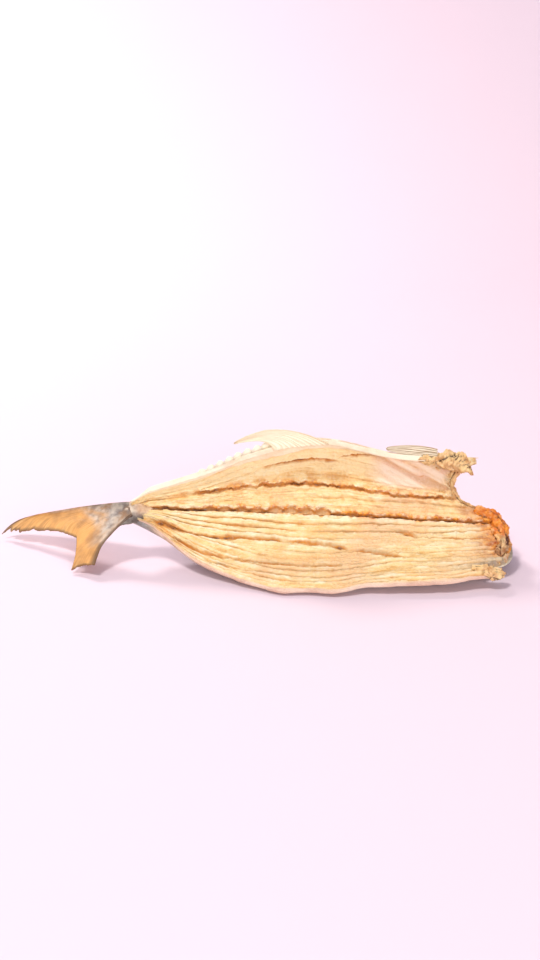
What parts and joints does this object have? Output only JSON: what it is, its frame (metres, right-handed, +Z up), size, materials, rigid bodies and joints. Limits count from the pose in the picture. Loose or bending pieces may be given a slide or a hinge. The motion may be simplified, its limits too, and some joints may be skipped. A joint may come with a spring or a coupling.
{
  "type": "salted fish",
  "caption": "Headless dried salted fish, split along the belly and opened out, with its backbone, forked tail and fins; rests on its back.",
  "frame": {"origin": "centre of the bounding box's bottom face, on the surface that the fish rests on", "axes": "+X from the tail to the neck cut, +Z up, -Y towards the open flesh side"},
  "size_m": [0.526, 0.1598, 0.1344],
  "materials": {
    "dried_flesh": "matte",
    "dried_bone": "matte",
    "tail_fin": "satin",
    "belly_skin": "satin",
    "back_skin": "satin"
  },
  "bodies": {
    "root": {"split_body": "dried_flesh", "backbone": "dried_bone", "tail_fin": "tail_fin", "anal_fin": "belly_skin", "pelvic_fin": "belly_skin", "dorsal_fin": "back_skin", "pectoral_fin": "back_skin"}
  },
  "joints": []
}
